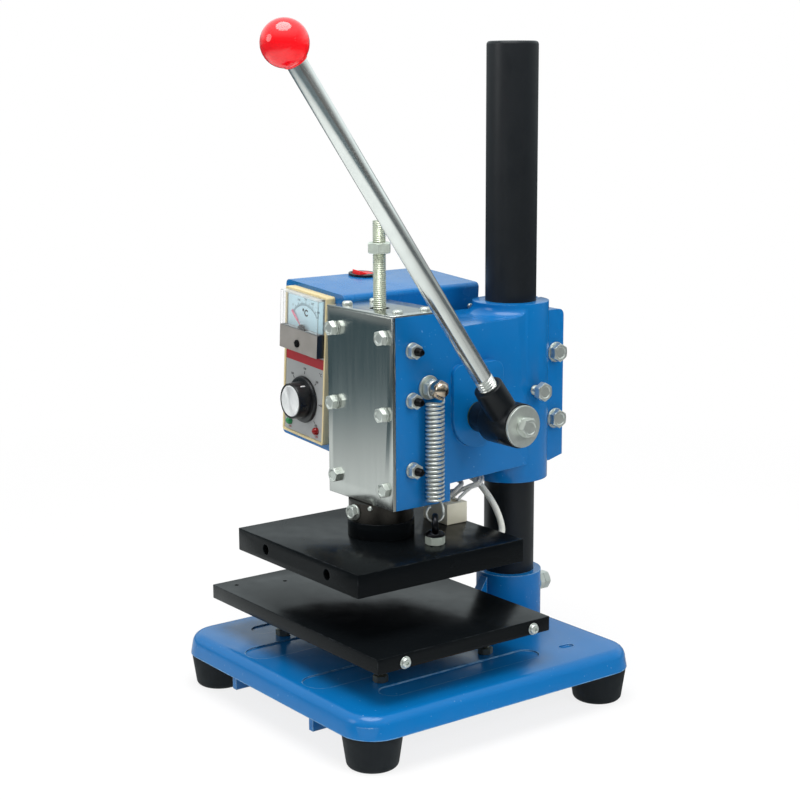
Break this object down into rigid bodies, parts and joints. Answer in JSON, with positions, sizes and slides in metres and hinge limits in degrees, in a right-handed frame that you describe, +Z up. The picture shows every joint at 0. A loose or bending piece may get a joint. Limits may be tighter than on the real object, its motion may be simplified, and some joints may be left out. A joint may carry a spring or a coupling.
{
  "type": "hot foil stamping machine",
  "caption": "Bench press for hot foil stamping: a hand lever turns a pinion that drives a rack ram and heated plate down onto a table, with a temperature control box beside the head.",
  "frame": {"origin": "on the floor under the middle of the machine, measured without the cables", "axes": "+Z up, +X to the operator's right, -Y the front with the controller"},
  "size_m": [0.2567, 0.3174, 0.5077],
  "materials": {
    "blue_paint": "gloss",
    "black_paint": "satin",
    "black_anodised": "matte",
    "rubber": "matte",
    "zinc": "satin",
    "dark_steel": "satin",
    "stainless": "brushed",
    "chrome": "polished",
    "black_oxide": "satin",
    "brass": "satin",
    "black_plastic": "matte",
    "cream_plastic": "satin",
    "grey_plastic": "satin",
    "smoky_plastic": "gloss",
    "dial_card": "matte",
    "clear_plastic": "gloss",
    "red_plastic": "gloss",
    "green_lamp": "gloss",
    "red_lamp": "gloss",
    "ceramic": "satin",
    "cable_white": "matte",
    "cable_grey": "matte"
  },
  "bodies": {
    "base": {"base_casting": "blue_paint", "rubber_feet": "rubber", "foot_screws": "zinc", "column": "black_paint", "socket_bolt": "zinc", "table": "black_anodised", "table_studs": "zinc", "table_screws": "zinc"},
    "lever": {"pinion_shaft": "dark_steel", "lever_hub": "black_paint", "hub_bolt": "zinc", "lever_rod": "chrome", "ball_knob": "red_plastic"},
    "ram": {"ram": "dark_steel", "stop_rod": "zinc", "clamp_ring": "black_oxide", "ram_bolt": "zinc", "hot_plate": "black_anodised", "plate_heaters": "zinc", "terminal_block": "ceramic", "terminal_screws": "brass", "eye_bolt": "black_oxide"},
    "stop_nut": {"stop_nut": "zinc"},
    "knob": {"knob": "black_plastic", "knob_cap": "zinc"},
    "rocker": {"rocker": "red_plastic"},
    "needle": {"meter_needle": "red_plastic"},
    "head": {"head_casting": "blue_paint", "front_plate": "stainless", "plate_bolts": "zinc", "top_cover": "stainless", "cover_screws": "zinc", "gib_strip": "dark_steel", "gib_screws": "black_oxide", "gib_nuts": "black_oxide", "clamp_bolts": "zinc", "head_set_bolt": "zinc", "spring_stud": "zinc", "shaft_bush": "brass", "shaft_cap": "dark_steel", "cap_screws": "zinc", "control_box": "blue_paint", "box_screws": "zinc", "back_cover": "blue_paint", "power_inlet": "black_plastic", "inlet_pins": "brass", "cable_grommet": "rubber", "controller_frame": "cream_plastic", "controller_face": "grey_plastic", "controller_case": "black_plastic", "meter_dial": "dial_card", "meter_block": "smoky_plastic", "meter_cover": "clear_plastic", "lamp_green": "green_lamp", "lamp_red": "red_lamp", "rocker_bezel": "black_plastic", "return_spring": "zinc", "heater_cable_right": "cable_white", "heater_cable_left": "cable_white", "sensor_lead": "cable_grey"}
  },
  "joints": [
    {"name": "head_height", "type": "slide", "parent": "base", "child": "head", "axis": [0, 0, 1], "range_m": [0, 0.16]},
    {"name": "ram_slide", "type": "slide", "parent": "head", "child": "ram", "axis": [0, 0, -1], "range_m": [0, 0.034], "stiffness_N_per_m": 3300, "springref_m": -0.03, "deforming": ["return_spring", "heater_cable_right", "heater_cable_left", "sensor_lead"]},
    {"name": "lever_turn", "type": "hinge", "parent": "head", "child": "lever", "pos_m": [0.00235, 0.04718, 0.2206], "axis": [1, 0, 0], "range_deg": [0, 59.08]},
    {"name": "stop_nut_height", "type": "slide", "parent": "ram", "child": "stop_nut", "axis": [0, 0, 1], "range_m": [-0.006, 0.014]},
    {"name": "knob_turn", "type": "hinge", "parent": "head", "child": "knob", "pos_m": [-0.08603, -0.02152, 0.22107], "axis": [0, 1, 0], "range_deg": [-135, 135]},
    {"name": "rocker_tip", "type": "hinge", "parent": "head", "child": "rocker", "pos_m": [-0.10515, 0.04968, 0.31021], "axis": [0.9973, 0, -0.0732], "range_deg": [0, 20]},
    {"name": "needle_turn", "type": "hinge", "parent": "head", "child": "needle", "pos_m": [-0.08204, -0.02152, 0.27542], "axis": [0, 1, 0], "range_deg": [0, 102]}
  ],
  "couplings": [
    {"joint": "lever_turn", "follows": "ram_slide", "rad_per_m": 30.303}
  ]
}
